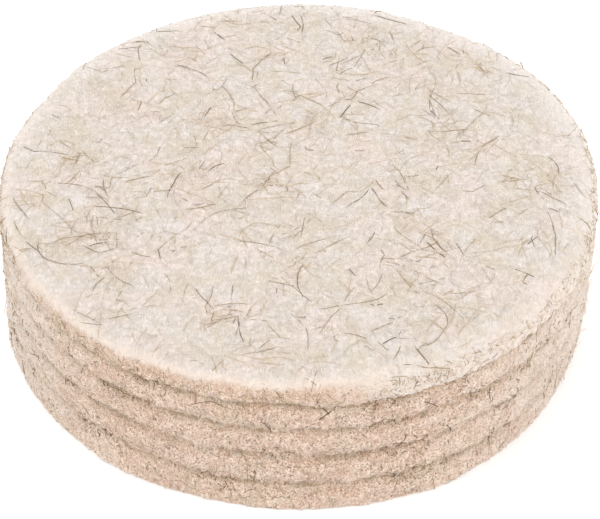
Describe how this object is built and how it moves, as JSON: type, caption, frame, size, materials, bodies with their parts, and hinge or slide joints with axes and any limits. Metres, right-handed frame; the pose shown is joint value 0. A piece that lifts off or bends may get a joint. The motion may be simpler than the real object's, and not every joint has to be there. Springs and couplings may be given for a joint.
{
  "type": "felt polishing wheel",
  "caption": "Thick round pad of laminated natural wool felt with a grooved side wall, for polishing stone, metal and glass with a paste.",
  "frame": {"origin": "centre of the back face, which the wheel rests on", "axes": "+Z is the wheel's axis and points out of the working face; X and Y lie in the back face, and the wheel is round, so neither is marked on it"},
  "size_m": [0.0762, 0.0762, 0.0207],
  "materials": {
    "felt": "undyed cream wool felt, matte and softly fuzzy, flecked with fine brown guard hairs, with a granular cut edge",
    "bond": "thin dull brown adhesive"
  },
  "bodies": {
    "root": {"felt_ply_1_working_face": "felt", "felt_ply_2": "felt", "felt_ply_3": "felt", "felt_ply_4": "felt", "felt_ply_5_back": "felt", "bond_layer_1": "bond", "bond_layer_2": "bond", "bond_layer_3": "bond", "bond_layer_4": "bond"}
  },
  "joints": []
}
